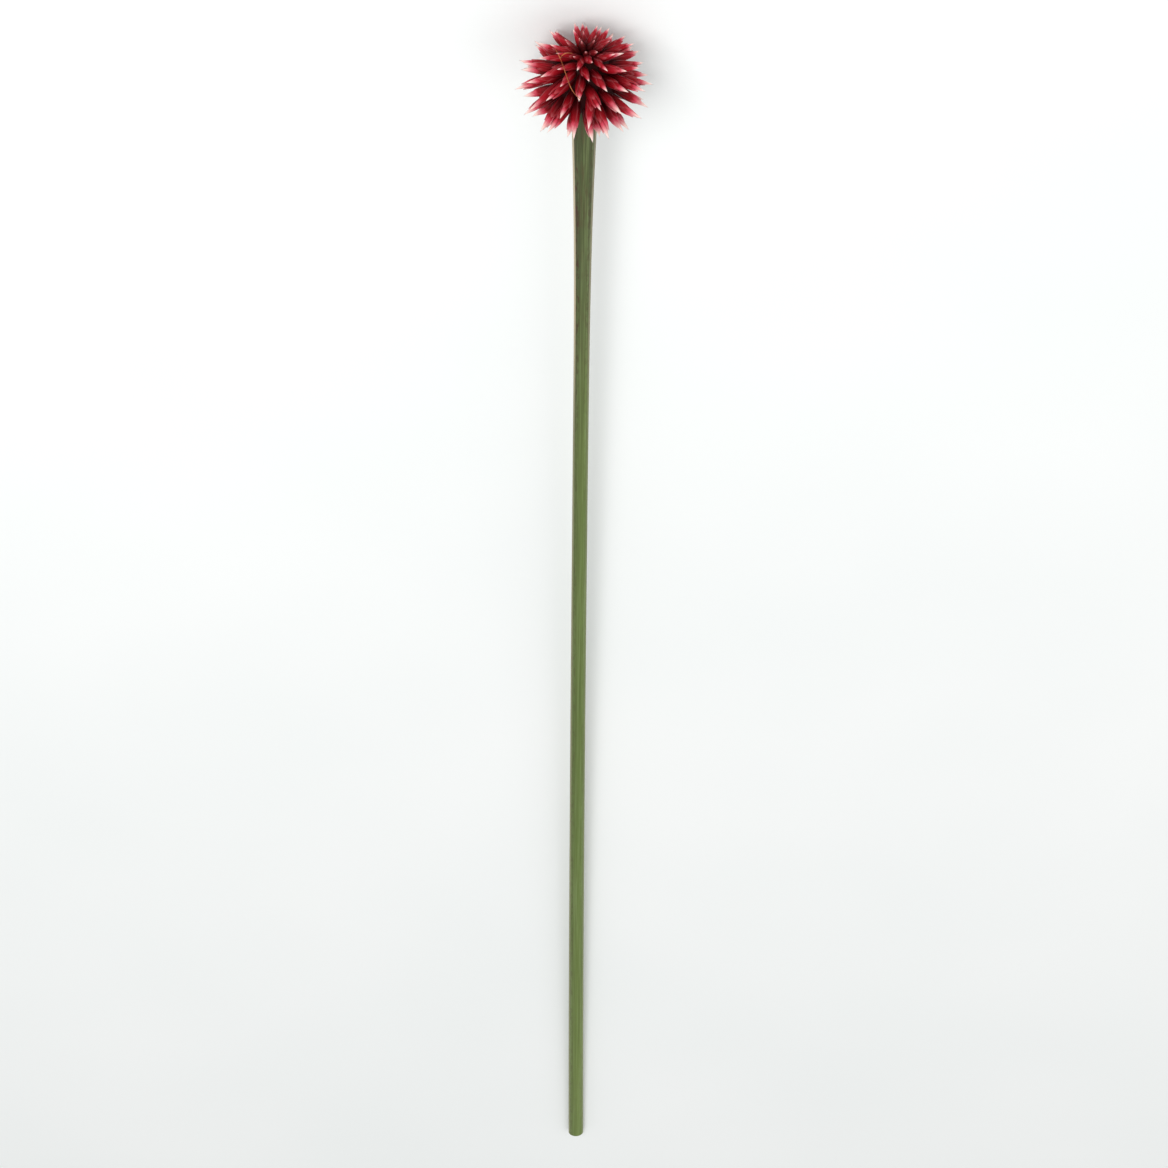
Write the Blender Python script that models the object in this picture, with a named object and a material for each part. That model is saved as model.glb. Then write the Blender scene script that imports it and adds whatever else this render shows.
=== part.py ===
"""Inirida flower: one cut scape with its round head of pointed spikelets, lying on a surface.

Runs with blender --background --python part.py, or from Blender's text editor. Metres, +Z up. The flower
lies along Y with its head at the +Y end. It rests on the cut end of the stem and on the few lowest
spikelet tips, which are worn flat there. Z = 0 is the surface, and the origin is the middle of the
flower's footprint.
"""

import math
import random

import bmesh
import bpy
from mathutils import Matrix, Vector

FLOWER_NAME = "inirida_flower"
MM = 0.001

# Stem: a two-edged scape, wide under the head, slim at its waist and a little wider towards the cut
STEM_LENGTH = 660 * MM
STEM_WAIST_WIDTH = 5.0 * MM
STEM_CUT_WIDENING = 1.5 * MM
STEM_CUT_POWER = 1.2
NECK_WIDENING = 3.4 * MM
NECK_FLARE_LENGTH = 48 * MM
NECK_FLARE_POWER = 1.25
STEM_FLATNESS = 0.62
STEM_EDGE_SHARPNESS = 0.35
STEM_SIDES = 14
STEM_RINGS = 36
STEM_RING_CROWDING = 1.7
STEM_RISE_POWER = 1.12
STEM_SWAY = 4.0 * MM
STEM_SWAY_POWER = 1.5
STEM_SHARP_EDGE = math.radians(40)
WELD_DISTANCE = 0.01 * MM

# Head: heights run along its axis from the neck, where the stem ends, on its heading over the last share
HEADING_SHARE = 0.01
NECK_HEIGHT = 19.6 * MM
NECK_GAP = 0.3 * MM
CORE_RADIUS = 9.5 * MM
CORE_CENTRE = 8.5 * MM
CORE_RISE = 13.5 * MM
CORE_DROP = 9.5 * MM
CORE_SEGMENTS = 18
CORE_RINGS = 12
ROOT_SHELL = 0.76

# Envelope that the spikelet tips reach, seen from its own centre on the axis
TIP_CENTRE = 7.0 * MM
TIP_RISE = 20.0 * MM
TIP_DROP = 14.0 * MM
TIP_RADIUS = 22.4 * MM
TIP_ROUNDNESS = 1.9
TIP_LAST_ANGLE = math.radians(141)
TIP_ANGLE_STEP = math.radians(0.25)
TIP_SPACING_APEX = 3.2 * MM
TIP_SPACING_BASE = 9.8 * MM
APEX_TO_BASE_SPREAD = math.radians(90)

# Spikelets: steep at the apex, level round the middle, drooping below it. Stations are pairs of the share
# of the length from the root and the share of the half width there, and so are a bract tip's height and reach
GOLDEN_ANGLE = math.pi * (3 - math.sqrt(5))
HEAD_TURN = math.radians(216)
APEX_FADE = math.radians(24)
DROOP_START = math.radians(67)
DROOP_RATE = 0.75
SPIKELET_WIDTH_APEX = 2.0 * MM
SPIKELET_WIDTH_BASE = 3.9 * MM
SPIKELET_SIDES = 6
SPIKELET_STATIONS = ((0.0, 0.55), (0.40, 1.0), (0.72, 0.66))
RING_TOLERANCE = 0.01
BRACT_TIP_HEIGHT = 0.84
BRACT_TIP_REACH = 0.78
BRACT_SIDES_BY_KIND = {"bud": (), "keeled": (0,), "open": (0, 3)}
BUD_LAST_ANGLE = math.radians(45)
SEED = 3203
TURN_JITTER = math.radians(4.0)
PITCH_JITTER = math.radians(6.0)
YAW_JITTER = math.radians(7.0)
REACH_JITTER = 1.2 * MM
WIDTH_JITTER = 0.14
ROOT_MARCH_STEP = 0.1 * MM

# Block under the surface that flattens the tips that the flower lies on
SURFACE_BLOCK = Vector((100, 120, 20)) * MM


def clear_scene():
    """Remove every object of the scene."""
    for thing in list(bpy.data.objects):
        bpy.data.objects.remove(thing, do_unlink=True)


def new_collection(name):
    """Link a new collection to the scene and return it."""
    collection = bpy.data.collections.new(name)
    bpy.context.scene.collection.children.link(collection)
    return collection


def make_material(name, colour, roughness):
    """Return a Principled material of one colour."""
    material = bpy.data.materials.new(name)
    material.use_nodes = True
    shader = material.node_tree.nodes["Principled BSDF"]
    shader.inputs["Base Color"].default_value = (*colour, 1.0)
    shader.inputs["Roughness"].default_value = roughness
    shader.inputs["Metallic"].default_value = 0.0
    return material


def mesh_object(name, mesh, collection, parent=None):
    """Return a new object of a mesh in a collection."""
    thing = bpy.data.objects.new(name, mesh)
    collection.objects.link(thing)
    thing.parent = parent
    return thing


def evaluated_mesh(thing):
    """Return a copy of an object's mesh with its modifiers applied."""
    graph = bpy.context.evaluated_depsgraph_get()
    return bpy.data.meshes.new_from_object(thing.evaluated_get(graph), depsgraph=graph)


def stem_width(from_neck):
    """Width of the scape over its two edges, at a distance from the neck."""
    flare = NECK_WIDENING * math.exp(-((from_neck / NECK_FLARE_LENGTH) ** NECK_FLARE_POWER))
    return STEM_WAIST_WIDTH + STEM_CUT_WIDENING * (from_neck / STEM_LENGTH) ** STEM_CUT_POWER + flare


def stem_point(share):
    """Middle of the scape, from the cut end at 0 to the neck at 1."""
    cut_half_height = stem_width(STEM_LENGTH) * STEM_FLATNESS / 2 * flat_side_height()
    rise = (NECK_HEIGHT - cut_half_height) * share**STEM_RISE_POWER
    sway = STEM_SWAY * share**STEM_SWAY_POWER
    return Vector((sway, share * STEM_LENGTH, cut_half_height + rise))


def lens_point(angle):
    """Point of the scape's outline at half width 1: a lens whose edges run out to a keel at both sides."""
    bulge = abs(math.sin(angle)) ** (1 + STEM_EDGE_SHARPNESS)
    return math.cos(angle), math.copysign(bulge * STEM_FLATNESS, math.sin(angle))


def flat_side_height():
    """Share of the lens's half height that its flat upper and lower sides reach."""
    beside_top = math.pi / 2 - math.pi / STEM_SIDES
    return lens_point(beside_top)[1] / STEM_FLATNESS


def make_stem(collection, parent):
    """Build the scape as a curve with a lens for its outline, made a closed mesh."""
    outline_data = bpy.data.curves.new("stem_outline", "CURVE")
    outline_data.dimensions = "2D"
    outline = outline_data.splines.new("POLY")
    outline.points.add(STEM_SIDES - 1)
    outline.use_cyclic_u = True
    for index, point in enumerate(outline.points):
        across, up = lens_point(index * 2 * math.pi / STEM_SIDES)
        point.co = (across, up, 0, 1)
    outline_guide = mesh_object("stem_outline", outline_data, collection)

    path_data = bpy.data.curves.new("stem_path", "CURVE")
    path_data.dimensions = "3D"
    path_data.twist_mode = "Z_UP"
    path_data.bevel_mode = "OBJECT"
    path_data.bevel_object = outline_guide
    path_data.use_fill_caps = True
    path = path_data.splines.new("POLY")
    path.points.add(STEM_RINGS - 1)
    for index, point in enumerate(path.points):
        share = 1 - (1 - index / (STEM_RINGS - 1)) ** STEM_RING_CROWDING
        point.co = (*stem_point(share), 1)
        point.radius = stem_width(STEM_LENGTH * (1 - share)) / 2
    path_guide = mesh_object("stem_path", path_data, collection)

    mesh = evaluated_mesh(path_guide)
    shape = bmesh.new()
    shape.from_mesh(mesh)
    bmesh.ops.remove_doubles(shape, verts=shape.verts, dist=WELD_DISTANCE)
    bmesh.ops.recalc_face_normals(shape, faces=shape.faces)
    shape.to_mesh(mesh)
    shape.free()
    bpy.data.objects.remove(path_guide, do_unlink=True)
    bpy.data.objects.remove(outline_guide, do_unlink=True)
    mesh.materials.clear()
    mesh.materials.append(make_material("scape_green", (0.105, 0.185, 0.055), 0.5))
    mesh.shade_smooth()
    mesh.set_sharp_from_angle(angle=STEM_SHARP_EDGE)
    return mesh_object("stem", mesh, collection, parent)


def tip_envelope(angle):
    """Height and radius of the tips' envelope, at an angle from the apex seen from its centre."""
    along, out = math.cos(angle), math.sin(angle)
    tallness = TIP_RISE if along > 0 else TIP_DROP
    terms = (abs(along) / tallness) ** TIP_ROUNDNESS + (out / TIP_RADIUS) ** TIP_ROUNDNESS
    reach = terms ** (-1 / TIP_ROUNDNESS)
    return TIP_CENTRE + reach * along, reach * out


def apex_to_base(angle, at_apex, at_base):
    """Size of a thing that grows from the apex to the base, most near the apex."""
    spread = 1 - math.exp(-angle / APEX_TO_BASE_SPREAD)
    full = 1 - math.exp(-TIP_LAST_ANGLE / APEX_TO_BASE_SPREAD)
    return at_apex + (at_base - at_apex) * spread / full


def tip_angles():
    """Angles from the apex of all tips, so that each has its spacing squared of the envelope to itself."""
    angles = []
    owed = 0.5
    angle = 0.0
    while angle < TIP_LAST_ANGLE:
        height, radius = tip_envelope(angle)
        next_height, next_radius = tip_envelope(angle + TIP_ANGLE_STEP)
        slant = math.hypot(next_height - height, next_radius - radius)
        spacing = apex_to_base(angle, TIP_SPACING_APEX, TIP_SPACING_BASE)
        owed += math.pi * (radius + next_radius) * slant / spacing**2
        angle += TIP_ANGLE_STEP
        while owed >= 1:
            angles.append(angle)
            owed -= 1
    return angles


def spikelet_pitch(angle):
    """Angle of a spikelet above the level, for the angle of its tip from the apex."""
    steep = math.pi / 2 * math.exp(-angle / APEX_FADE)
    return steep - DROOP_RATE * max(0.0, angle - DROOP_START)


def inside_root_shell(point):
    """Tell if a point of the head lies within the shell on which the roots end, inside the core."""
    tallness = CORE_RISE if point.z > CORE_CENTRE else CORE_DROP
    across = math.hypot(point.x, point.y) / CORE_RADIUS
    along = (point.z - CORE_CENTRE) / tallness
    return math.hypot(across, along) < ROOT_SHELL


def spikelet_length(tip, direction):
    """Length of a spikelet from its tip back to the root shell, or to its nearest point to the axis."""
    length = 0.0
    point = tip.copy()
    nearest = math.hypot(point.x, point.y) + 1.0
    while not inside_root_shell(point) and math.hypot(point.x, point.y) < nearest:
        nearest = math.hypot(point.x, point.y)
        length += ROOT_MARCH_STEP
        point = tip - direction * length
    return length


def spikelet_template(kind):
    """Return the mesh of a spikelet of length 1 and half width 1, with its root at 0 and its tip on +Z."""
    shape = bmesh.new()
    lift = Matrix.Translation((0, 0, 0.5))
    bmesh.ops.create_cone(
        shape, cap_ends=True, segments=SPIKELET_SIDES, radius1=1.0, radius2=0.0, depth=1.0, matrix=lift
    )
    for height, _ in SPIKELET_STATIONS[1:]:
        everything = [*shape.verts, *shape.edges, *shape.faces]
        bmesh.ops.bisect_plane(shape, geom=everything, plane_co=(0, 0, height), plane_no=(0, 0, 1))
    for height, half_width in SPIKELET_STATIONS:
        ring = [v for v in shape.verts if abs(v.co.z - height) < RING_TOLERANCE]
        widening = half_width / (1 - height)
        bmesh.ops.scale(shape, verts=ring, vec=(widening, widening, 1))

    low, high = SPIKELET_STATIONS[1][0], SPIKELET_STATIONS[2][0]
    belt = [f for f in shape.faces if low < f.calc_center_median().z < high]
    belt.sort(key=lambda f: math.atan2(f.calc_center_median().y, f.calc_center_median().x))
    bracts = [belt[side] for side in BRACT_SIDES_BY_KIND[kind]]
    if bracts:
        poked = bmesh.ops.poke(shape, faces=bracts)
        for vert in poked["verts"]:
            outward = vert.co.xy.normalized() * BRACT_TIP_REACH
            vert.co = (outward.x, outward.y, BRACT_TIP_HEIGHT)
    bmesh.ops.triangulate(shape, faces=shape.faces)
    bmesh.ops.recalc_face_normals(shape, faces=shape.faces)
    mesh = bpy.data.meshes.new("spikelet_" + kind)
    shape.to_mesh(mesh)
    shape.free()
    return mesh


def spikelet_kind(index, angle):
    """Closed buds stand at the apex, and spikelets with open bract tips below them."""
    if angle < BUD_LAST_ANGLE:
        return "bud"
    return "open" if index % 3 == 0 else "keeled"


def place_spikelets(collection, head_frame):
    """Set one spikelet object on each tip of the golden-angle spiral."""
    draw = random.Random(SEED)
    templates = {kind: spikelet_template(kind) for kind in BRACT_SIDES_BY_KIND}
    for index, angle in enumerate(tip_angles()):
        turn = HEAD_TURN + index * GOLDEN_ANGLE + draw.uniform(-TURN_JITTER, TURN_JITTER)
        pitch = spikelet_pitch(angle) + draw.uniform(-PITCH_JITTER, PITCH_JITTER)
        yaw = turn + draw.uniform(-YAW_JITTER, YAW_JITTER)
        height, radius = tip_envelope(angle)
        tip = Vector((radius * math.cos(turn), radius * math.sin(turn), height))
        level = Vector((math.cos(yaw), math.sin(yaw), 0)) * math.cos(pitch)
        direction = level + Vector((0, 0, math.sin(pitch)))
        tip += direction * draw.uniform(-REACH_JITTER, REACH_JITTER)
        length = spikelet_length(tip, direction)
        half_width = apex_to_base(angle, SPIKELET_WIDTH_APEX, SPIKELET_WIDTH_BASE) / 2
        half_width *= 1 + draw.uniform(-WIDTH_JITTER, WIDTH_JITTER)
        roll = draw.uniform(0, 2 * math.pi)
        template = templates[spikelet_kind(index, angle)]
        spikelet = mesh_object(f"spikelet_{index}", template, collection, head_frame)
        spikelet.matrix_local = (
            Matrix.Translation(tip - direction * length)
            @ direction.to_track_quat("Z", "Y").to_matrix().to_4x4()
            @ Matrix.Rotation(roll, 4, "Z")
            @ Matrix.Diagonal((half_width, half_width, length, 1))
        )


def core_mesh():
    """Return the egg-shaped core that the spikelets grow from, cut flat where the stem meets it."""
    shape = bmesh.new()
    bmesh.ops.create_uvsphere(shape, u_segments=CORE_SEGMENTS, v_segments=CORE_RINGS, radius=1.0)
    for vert in shape.verts:
        tallness = CORE_RISE if vert.co.z > 0 else CORE_DROP
        vert.co = (vert.co.x * CORE_RADIUS, vert.co.y * CORE_RADIUS, CORE_CENTRE + vert.co.z * tallness)
    cut = bmesh.ops.bisect_plane(
        shape,
        geom=[*shape.verts, *shape.edges, *shape.faces],
        plane_co=(0, 0, NECK_GAP),
        plane_no=(0, 0, -1),
        clear_outer=True,
    )
    rim = [part for part in cut["geom_cut"] if isinstance(part, bmesh.types.BMEdge)]
    bmesh.ops.holes_fill(shape, edges=rim)
    bmesh.ops.recalc_face_normals(shape, faces=shape.faces)
    mesh = bpy.data.meshes.new("flower_head")
    shape.to_mesh(mesh)
    shape.free()
    return mesh


def make_head(collection, cutters, head_frame):
    """Join the spikelets to the core and flatten the tips that rest on the surface.

    The exact solver orders so many crossing spikelets differently each time, so the join uses the other one.
    """
    head = mesh_object("flower_head", core_mesh(), collection, head_frame)
    spikelets = new_collection("spikelets")
    place_spikelets(spikelets, head_frame)
    join = head.modifiers.new("join_spikelets", "BOOLEAN")
    join.operation = "UNION"
    join.operand_type = "COLLECTION"
    join.collection = spikelets
    join.solver = "MANIFOLD"
    joined = evaluated_mesh(head)
    head.modifiers.remove(join)
    head.data = joined
    for spikelet in list(spikelets.objects):
        bpy.data.objects.remove(spikelet, do_unlink=True)
    bpy.data.collections.remove(spikelets)
    joined.materials.clear()
    joined.materials.append(make_material("bract_crimson", (0.40, 0.022, 0.050), 0.45))

    block_shape = bmesh.new()
    middle = head_frame.matrix_world.translation + Vector((0, CORE_CENTRE, 0))
    below = Matrix.Translation((middle.x, middle.y, -SURFACE_BLOCK.z / 2))
    place = below @ Matrix.Diagonal((*SURFACE_BLOCK, 1))
    bmesh.ops.create_cube(block_shape, size=1.0, matrix=place)
    block_mesh = bpy.data.meshes.new("surface_block")
    block_shape.to_mesh(block_mesh)
    block_shape.free()
    block = mesh_object("surface_block", block_mesh, cutters)
    block.hide_render = True
    block.display_type = "WIRE"
    flatten = head.modifiers.new("flatten_lowest_tips", "BOOLEAN")
    flatten.operation = "DIFFERENCE"
    flatten.object = block
    flatten.solver = "EXACT"
    return head


def make_head_frame(collection):
    """Return an empty at the neck, its Z axis running on from the stem."""
    frame = bpy.data.objects.new("head_frame", None)
    collection.objects.link(frame)
    neck = stem_point(1.0)
    heading = (neck - stem_point(1 - HEADING_SHARE)).normalized()
    pitch = math.asin(heading.z)
    yaw = math.atan2(heading.x, heading.y)
    frame.location = neck
    frame.rotation_euler = (pitch - math.pi / 2, 0, -yaw)
    return frame


def footprint_centre(parts):
    """Middle of the box round all parts, on the surface."""
    graph = bpy.context.evaluated_depsgraph_get()
    corners = []
    for part in parts:
        seen = part.evaluated_get(graph)
        corners += [seen.matrix_world @ v.co for v in seen.data.vertices]
    middle = [(min(c[axis] for c in corners) + max(c[axis] for c in corners)) / 2 for axis in (0, 1)]
    return Vector((*middle, 0))


def main():
    clear_scene()
    parts = new_collection(FLOWER_NAME)
    cutters = new_collection("cutters")
    origin = bpy.data.objects.new("flower_origin", None)
    parts.objects.link(origin)
    head_frame = make_head_frame(parts)
    head_frame.parent = origin
    bpy.context.view_layer.update()
    stem = make_stem(parts, origin)
    head = make_head(parts, cutters, head_frame)
    for block in cutters.objects:
        block.parent = origin
    bpy.context.view_layer.update()
    origin.location = -footprint_centre([stem, head])
    bpy.context.view_layer.update()


main()
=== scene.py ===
"""Scene of one cut inirida flower that lies on a pale studio floor.

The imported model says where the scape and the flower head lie. This script gives both their fine surface: a
ribbed two-edged scape with its cut pith, and a receptacle with overlapping bracts on every spikelet. Two dry
fibres lie on them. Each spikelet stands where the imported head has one, by the same rule and the same order
of random draws. Metres, +Z up, the head at the +Y end.
"""

import logging
import math
import random
from dataclasses import dataclass, field
from enum import Enum
from typing import Any

import bmesh
import bpy
from mathutils import Euler, Matrix, Vector, noise
from mathutils.bvhtree import BVHTree

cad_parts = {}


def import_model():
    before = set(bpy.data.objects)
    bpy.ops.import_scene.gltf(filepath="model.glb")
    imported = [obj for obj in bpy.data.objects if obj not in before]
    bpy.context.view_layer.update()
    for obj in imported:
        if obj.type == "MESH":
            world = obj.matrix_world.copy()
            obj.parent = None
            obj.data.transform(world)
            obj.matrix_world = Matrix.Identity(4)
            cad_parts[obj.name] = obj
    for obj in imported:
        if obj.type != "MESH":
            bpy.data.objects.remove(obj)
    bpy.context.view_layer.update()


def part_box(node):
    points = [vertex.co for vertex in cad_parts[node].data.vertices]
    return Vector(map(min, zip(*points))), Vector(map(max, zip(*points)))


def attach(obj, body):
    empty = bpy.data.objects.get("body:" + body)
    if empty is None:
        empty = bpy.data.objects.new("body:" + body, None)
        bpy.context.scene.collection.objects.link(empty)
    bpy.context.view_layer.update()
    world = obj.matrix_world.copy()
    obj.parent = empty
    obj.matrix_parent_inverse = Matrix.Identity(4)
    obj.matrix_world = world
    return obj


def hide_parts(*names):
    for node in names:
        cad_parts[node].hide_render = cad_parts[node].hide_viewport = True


MM = 0.001
BODY = "root"
STEM_NODE = "stem"
HEAD_NODE = "flower_head"
SHARP_EDGE = math.radians(52)
WELD = 0.001 * MM

# Size of the spikelet that the bracts' own coordinates are shares of, and the tones that each one has
TYPICAL_LENGTH = 15 * MM
TYPICAL_HALF_WIDTH = 1.9 * MM
TONES = ("tone", "pale_from", "crown")

# Sockets of the Mix node where it mixes colours
FACTOR = 0
FIRST = 6
SECOND = 7
MIXED = 2

Tree = bpy.types.NodeTree
Socket = bpy.types.NodeSocket

log = logging.getLogger("inirida_flower")


def srgb(code: str) -> tuple[float, float, float, float]:
    """Turn an sRGB hex code into a linear colour.

    Args:
        code: six hex digits after a hash sign.

    Returns:
        Linear red, green, blue and an alpha of 1.
    """
    channels = [int(code[place : place + 2], 16) / 255 for place in (1, 3, 5)]
    linear = [c / 12.92 if c <= 0.04045 else ((c + 0.055) / 1.055) ** 2.4 for c in channels]
    return (*linear, 1.0)


def smooth_step(low: float, high: float, value: float) -> float:
    """Ease from 0 at low to 1 at high.

    Args:
        low: value at which the step starts.
        high: value at which the step ends.
        value: where to read the step.

    Returns:
        The step's height, from 0 to 1.
    """
    share = min(1.0, max(0.0, (value - low) / (high - low)))
    return share * share * (3 - 2 * share)


def add_node(
    tree: Tree,
    kind: str,
    inputs: dict[str | int, Any] | None = None,
    stops: list[tuple[float, str]] | None = None,
    **settings: Any,
) -> bpy.types.NodeOutputs:
    """Add a shader node with its settings, values and links.

    Args:
        tree: node tree that gets the node.
        kind: Blender's type name of the node, without the ShaderNode that all of them start with.
        inputs: a value, or the socket to link from, for each input's name or number.
        stops: places and sRGB hex codes of a colour ramp.
        settings: the node's own properties.

    Returns:
        The new node's outputs.
    """
    node = tree.nodes.new("ShaderNode" + kind)
    for name, value in settings.items():
        setattr(node, name, value)
    for key, value in (inputs or {}).items():
        if isinstance(value, Socket):
            tree.links.new(value, node.inputs[key])
        else:
            node.inputs[key].default_value = value
    if stops:
        elements = node.color_ramp.elements
        while len(elements) < len(stops):
            elements.new(1.0)
        for element, (place, code) in zip(elements, stops):
            element.position = place
            element.color = srgb(code)
    return node.outputs


def mesh_piece(
    name: str, shape: bmesh.types.BMesh, finishes: list[bpy.types.Material], node: str
) -> bpy.types.Object:
    """Make a finished piece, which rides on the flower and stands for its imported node.

    Args:
        name: name of the piece.
        shape: its geometry in world coordinates, which is freed.
        finishes: materials, in the order of the faces' material numbers.
        node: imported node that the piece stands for.

    Returns:
        The new object.
    """
    mesh = bpy.data.meshes.new(name)
    shape.to_mesh(mesh)
    shape.free()
    for finish in finishes:
        mesh.materials.append(finish)
    mesh.shade_smooth()
    mesh.set_sharp_from_angle(angle=SHARP_EDGE)
    piece = bpy.data.objects.new(name, mesh)
    bpy.context.scene.collection.objects.link(piece)
    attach(piece, BODY)
    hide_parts(node)
    log.info("%s: %d faces", name, len(mesh.polygons))
    return piece


def straight_tube(sides: int, rings: int) -> bmesh.types.BMesh:
    """Make a closed tube of radius 1 along Z, from 0 to 1.

    Args:
        sides: number of sides.
        rings: number of rings of vertices, both ends counted.

    Returns:
        The tube, with one flat face at each end.
    """
    shape = bmesh.new()
    lift = Matrix.Translation((0, 0, 0.5))
    bmesh.ops.create_cone(
        shape, cap_ends=True, segments=sides, radius1=1.0, radius2=1.0, depth=1.0, matrix=lift
    )
    long_edges = [e for e in shape.edges if abs(e.verts[0].co.z - e.verts[1].co.z) > 0.5]
    bmesh.ops.subdivide_edges(shape, edges=long_edges, cuts=rings - 2)
    return shape


def face_outwards(shape: bmesh.types.BMesh) -> None:
    """Turn the faces of one closed body outwards, however thin it is."""
    bmesh.ops.recalc_face_normals(shape, faces=shape.faces)
    if shape.calc_volume(signed=True) < 0:
        bmesh.ops.reverse_faces(shape, faces=shape.faces)


@dataclass(frozen=True)
class Finish:
    """A surface, with the values of the real stuff: its gloss and its refraction."""

    name: str
    roughness: float
    ior: float = 1.45
    specular: float = 0.5

    def start(self) -> tuple[bpy.types.Material, Tree, bpy.types.Node]:
        """Start the material.

        Returns:
            The material, its node tree and its shader, with the gloss and the refraction set.
        """
        material = bpy.data.materials.new(self.name)
        material.use_nodes = True
        tree = material.node_tree
        shader = tree.nodes["Principled BSDF"]
        shader.inputs["Roughness"].default_value = self.roughness
        shader.inputs["IOR"].default_value = self.ior
        shader.inputs["Specular IOR Level"].default_value = self.specular
        return material, tree, shader


@dataclass(frozen=True)
class BractFinish(Finish):
    """Stiff papery bract of an inirida: crimson, deepest at the root, with a pale tip, pale margins and fine
    lengthwise veins. Towards the root the crimson is darkened further with painted shade of the gaps between
    spikelets.

    Its thin waxy skin has a soft gloss, and a little light passes through it. The veins differ from one
    spikelet to the next, by the tone shift.
    """

    name: str = "papery_bract"
    roughness: float = 0.40
    specular: float = 0.1
    light_reach: float = 0.6 * MM
    vein_spacing: float = 0.27 * MM
    vein_length: float = 11.5 * MM
    vein_depth: float = 0.04 * MM
    tone_shift: float = 9.0

    def make(self) -> bpy.types.Material:
        """Return the material, which reads the bracts' own coordinates and each spikelet's tones."""
        material, tree, shader = self.start()
        shader.inputs["Subsurface Weight"].default_value = 0.05
        shader.inputs["Subsurface Radius"].default_value = (1.0, 0.35, 0.3)
        shader.inputs["Subsurface Scale"].default_value = self.light_reach
        place = add_node(tree, "Attribute", attribute_name="bract_place")["Vector"]
        across, own, along = add_node(tree, "SeparateXYZ", {0: place})
        tone, pale_from, crown = (
            add_node(tree, "Attribute", attribute_name=name)["Fac"] for name in TONES
        )

        scale = (TYPICAL_HALF_WIDTH / self.vein_spacing, TYPICAL_LENGTH / self.vein_length, self.tone_shift)
        laid_out = add_node(tree, "CombineXYZ", {"X": across, "Y": along, "Z": tone})[0]
        vein_place = add_node(tree, "Mapping", {"Vector": laid_out, "Scale": scale})[0]
        veins = add_node(
            tree, "TexNoise", {"Vector": vein_place, "Scale": 1.0, "Detail": 3.0, "Roughness": 0.6}
        )[0]
        streak = add_node(tree, "MapRange", {0: veins, "From Min": 0.3, "From Max": 0.7, "To Min": -1.0})[0]

        streaked = add_node(tree, "Math", {0: streak, 1: 0.05, 2: along}, operation="MULTIPLY_ADD")[0]
        toned = add_node(tree, "Math", {0: tone, 1: 0.07, 2: streaked}, operation="MULTIPLY_ADD")[0]
        # The body ramp runs to near black at the root. That is partly the bracts' own deep crimson and
        # partly painted shade of the deep gaps between spikelets.
        stops = [(0, "#140002"), (0.3, "#440306"), (0.5, "#7C0711"), (0.7, "#99121F"), (1, "#AA1E2D")]
        body = add_node(tree, "ValToRGB", {0: toned}, stops)[0]

        share = add_node(tree, "MapRange", {0: along, "From Min": pale_from})[0]
        tip_share = add_node(tree, "Math", {0: streak, 1: 0.10, 2: share}, operation="MULTIPLY_ADD")[0]
        stops = [(0, "#B01C2C"), (0.28, "#C94A5C"), (0.5, "#E39A9C"), (0.72, "#F5DAD0"), (1, "#FCF5EC")]
        tip = add_node(tree, "ValToRGB", {0: tip_share}, stops)[0]
        stops = [(0.3, "#1C0304"), (0.6, "#3C080A"), (0.8, "#5E1416"), (0.91, "#AE5F62"), (1, "#E6B4AE")]
        young = add_node(tree, "ValToRGB", {0: along}, stops)[0]

        # What each amount goes by, from where to where it eases, and how large it is there
        to_side = add_node(tree, "Math", {0: across}, operation="ABSOLUTE")[0]
        ranges = ((tip_share, 0, 0.22, 0, 1), (to_side, 0.7, 1, 0, 0.16), (own, 0.75, 1, 0, 0.25))
        tipped, margin, own_tip = (
            add_node(tree, "MapRange", dict(enumerate(limits)), interpolation_type="SMOOTHSTEP")[0]
            for limits in ranges
        )
        edge = add_node(tree, "Math", {0: margin, 1: own_tip}, operation="MAXIMUM")[0]
        colour = body
        for amount, layer in ((tipped, tip), (edge, srgb("#DE8A90")), (crown, young)):
            colour = add_node(
                tree, "Mix", {FACTOR: amount, FIRST: colour, SECOND: layer}, data_type="RGBA"
            )[MIXED]
        tree.links.new(colour, shader.inputs["Base Color"])

        bump = add_node(tree, "Bump", {"Height": veins, "Distance": self.vein_depth})[0]
        tree.links.new(bump, shader.inputs["Normal"])
        return material


@dataclass(frozen=True)
class ReceptacleFinish(Finish):
    """Dry pithy ground that the spikelets grow from: dark crimson, brown and green towards the scape."""

    name: str = "pithy_receptacle"
    roughness: float = 0.62
    specular: float = 0.1
    grain_size: float = 0.5 * MM
    grain_depth: float = 0.15 * MM

    def make(self) -> bpy.types.Material:
        """Return the material, which reads how far up the head a point lies."""
        material, tree, shader = self.start()
        rise = add_node(tree, "Attribute", attribute_name="rise")["Fac"]
        place = add_node(tree, "TexCoord")["Object"]
        grain = add_node(
            tree, "TexNoise", {"Vector": place, "Scale": 1 / self.grain_size, "Detail": 2.0}
        )[0]
        uneven = add_node(tree, "Math", {0: grain, 1: 0.16, 2: rise}, operation="MULTIPLY_ADD")[0]
        stops = [(0.08, "#5E5A34"), (0.2, "#4A1E16"), (0.34, "#2C0407"), (1, "#240604")]
        colour = add_node(tree, "ValToRGB", {0: uneven}, stops)[0]
        tree.links.new(colour, shader.inputs["Base Color"])
        bump = add_node(tree, "Bump", {"Height": grain, "Distance": self.grain_depth})[0]
        tree.links.new(bump, shader.inputs["Normal"])
        return material


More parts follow.
